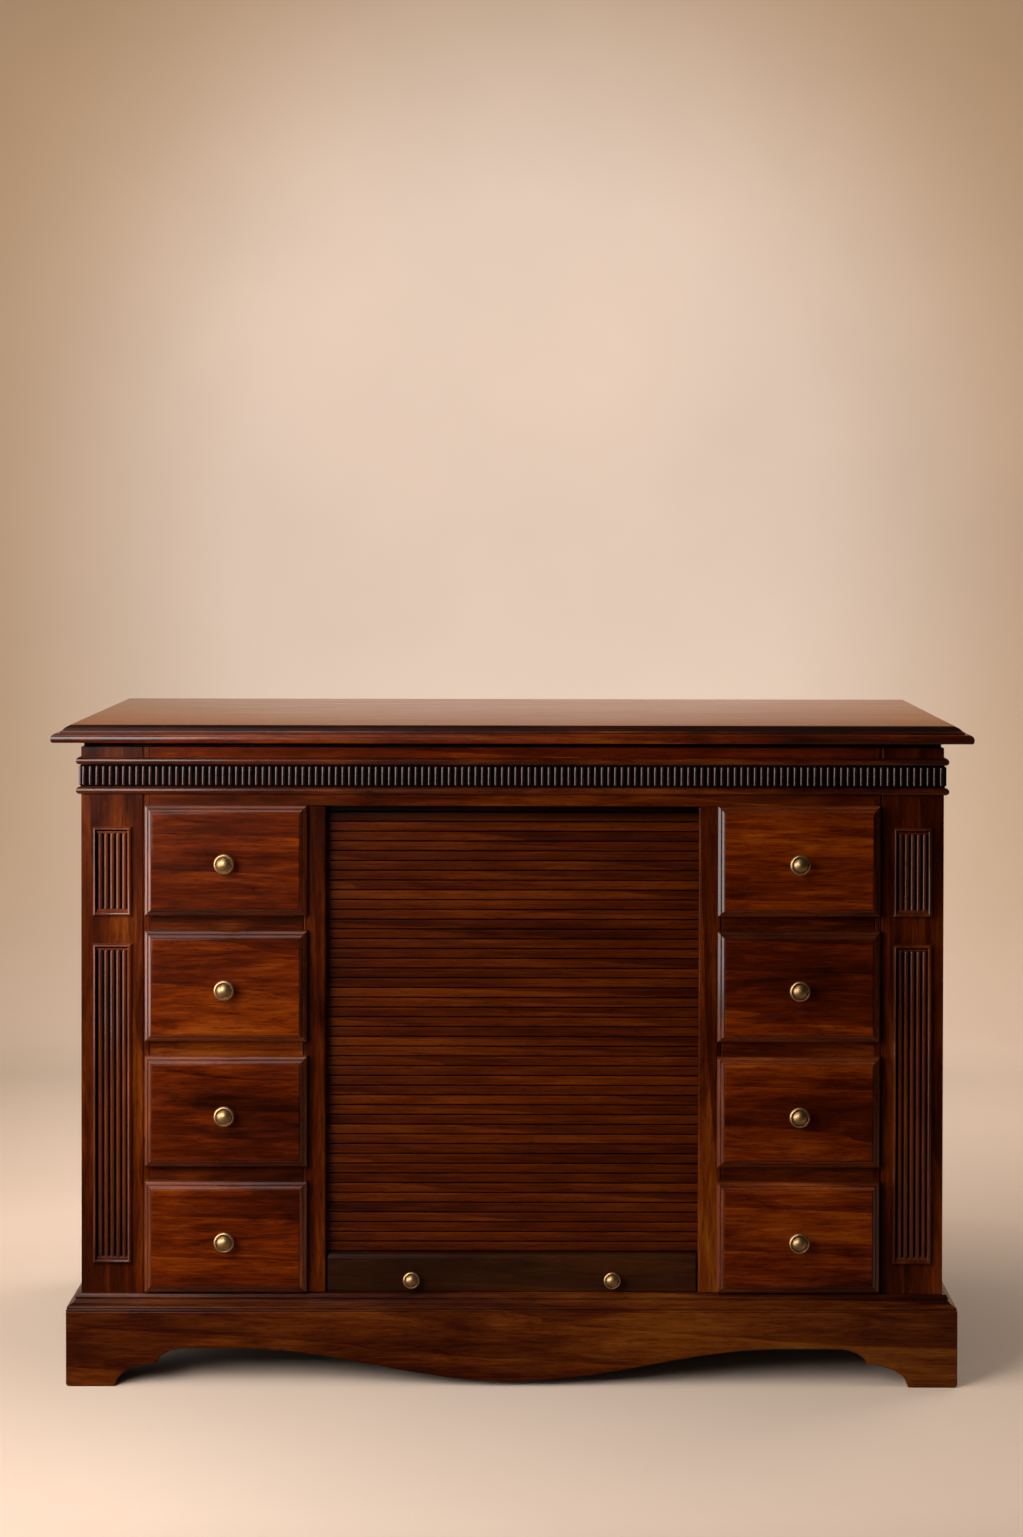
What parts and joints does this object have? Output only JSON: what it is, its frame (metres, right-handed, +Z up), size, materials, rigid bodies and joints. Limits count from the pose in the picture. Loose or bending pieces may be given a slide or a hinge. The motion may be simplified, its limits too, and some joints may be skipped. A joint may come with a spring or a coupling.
{
  "type": "roll top desk",
  "caption": "Mahogany pedestal desk with a moulded top over a reeded frieze, banks of small drawers either side of a lift-up tambour, and a shaped bracket plinth.",
  "frame": {"origin": "on the floor at the centre of the bounding box", "axes": "+X to the right as seen from the front, +Y towards the back, +Z up; the drawers face -Y"},
  "size_m": [1.056, 0.5748, 0.762],
  "materials": {
    "mahogany": "red-brown mahogany stain under satin lacquer",
    "dark_mahogany": "mahogany darkened with glaze on the mouldings, satin lacquer",
    "tambour_mahogany": "mahogany slats, satin lacquer",
    "drawer_lining": "plain oiled secondary wood, unseen when the desk is shut",
    "antique_brass": "antiqued brass, rubbed bright on the crowns"
  },
  "bodies": {
    "carcass": {"top_slab": "mahogany", "carcass_bottom": "mahogany", "frieze_rail": "mahogany", "base_moulding": "mahogany", "plinth_front": "mahogany", "top_spacer": "dark_mahogany", "upper_bead": "dark_mahogany", "reeded_frieze": "dark_mahogany", "lower_bead": "dark_mahogany", "carcass_top": "drawer_lining", "back_panel": "drawer_lining", "plinth_back": "drawer_lining", "side_panel_left": "mahogany", "pilaster_left": "mahogany", "inner_stile_left": "mahogany", "plinth_side_left": "mahogany", "partition_left": "drawer_lining", "web_frame_left_1": "mahogany", "web_frame_left_2": "mahogany", "web_frame_left_3": "mahogany", "fluted_panel_short_left": "dark_mahogany", "fluted_panel_long_left": "dark_mahogany", "side_panel_right": "mahogany", "pilaster_right": "mahogany", "inner_stile_right": "mahogany", "plinth_side_right": "mahogany", "partition_right": "drawer_lining", "web_frame_right_1": "mahogany", "web_frame_right_2": "mahogany", "web_frame_right_3": "mahogany", "fluted_panel_short_right": "dark_mahogany", "fluted_panel_long_right": "dark_mahogany"},
    "drawer_left_1": {"drawer_front_left_1": "mahogany", "drawer_box_left_1": "drawer_lining", "knob_left_1": "antique_brass"},
    "drawer_left_2": {"drawer_front_left_2": "mahogany", "drawer_box_left_2": "drawer_lining", "knob_left_2": "antique_brass"},
    "drawer_left_3": {"drawer_front_left_3": "mahogany", "drawer_box_left_3": "drawer_lining", "knob_left_3": "antique_brass"},
    "drawer_left_4": {"drawer_front_left_4": "mahogany", "drawer_box_left_4": "drawer_lining", "knob_left_4": "antique_brass"},
    "drawer_right_1": {"drawer_front_right_1": "mahogany", "drawer_box_right_1": "drawer_lining", "knob_right_1": "antique_brass"},
    "drawer_right_2": {"drawer_front_right_2": "mahogany", "drawer_box_right_2": "drawer_lining", "knob_right_2": "antique_brass"},
    "drawer_right_3": {"drawer_front_right_3": "mahogany", "drawer_box_right_3": "drawer_lining", "knob_right_3": "antique_brass"},
    "drawer_right_4": {"drawer_front_right_4": "mahogany", "drawer_box_right_4": "drawer_lining", "knob_right_4": "antique_brass"},
    "tambour": {"lead_bar": "dark_mahogany", "tambour_curtain": "tambour_mahogany", "lead_knob_left": "antique_brass", "lead_knob_right": "antique_brass"}
  },
  "joints": [
    {"name": "drawer_left_1_slide", "type": "slide", "parent": "carcass", "child": "drawer_left_1", "axis": [0, -1, 0], "range_m": [0, 0.38]},
    {"name": "drawer_left_2_slide", "type": "slide", "parent": "carcass", "child": "drawer_left_2", "axis": [0, -1, 0], "range_m": [0, 0.38]},
    {"name": "drawer_left_3_slide", "type": "slide", "parent": "carcass", "child": "drawer_left_3", "axis": [0, -1, 0], "range_m": [0, 0.38]},
    {"name": "drawer_left_4_slide", "type": "slide", "parent": "carcass", "child": "drawer_left_4", "axis": [0, -1, 0], "range_m": [0, 0.38]},
    {"name": "drawer_right_1_slide", "type": "slide", "parent": "carcass", "child": "drawer_right_1", "axis": [0, -1, 0], "range_m": [0, 0.38]},
    {"name": "drawer_right_2_slide", "type": "slide", "parent": "carcass", "child": "drawer_right_2", "axis": [0, -1, 0], "range_m": [0, 0.38]},
    {"name": "drawer_right_3_slide", "type": "slide", "parent": "carcass", "child": "drawer_right_3", "axis": [0, -1, 0], "range_m": [0, 0.38]},
    {"name": "drawer_right_4_slide", "type": "slide", "parent": "carcass", "child": "drawer_right_4", "axis": [0, -1, 0], "range_m": [0, 0.38]},
    {"name": "tambour_lift", "type": "slide", "parent": "carcass", "child": "tambour", "axis": [0, 0, 1], "range_m": [0, 0.516], "deforming": ["tambour_curtain"]}
  ]
}
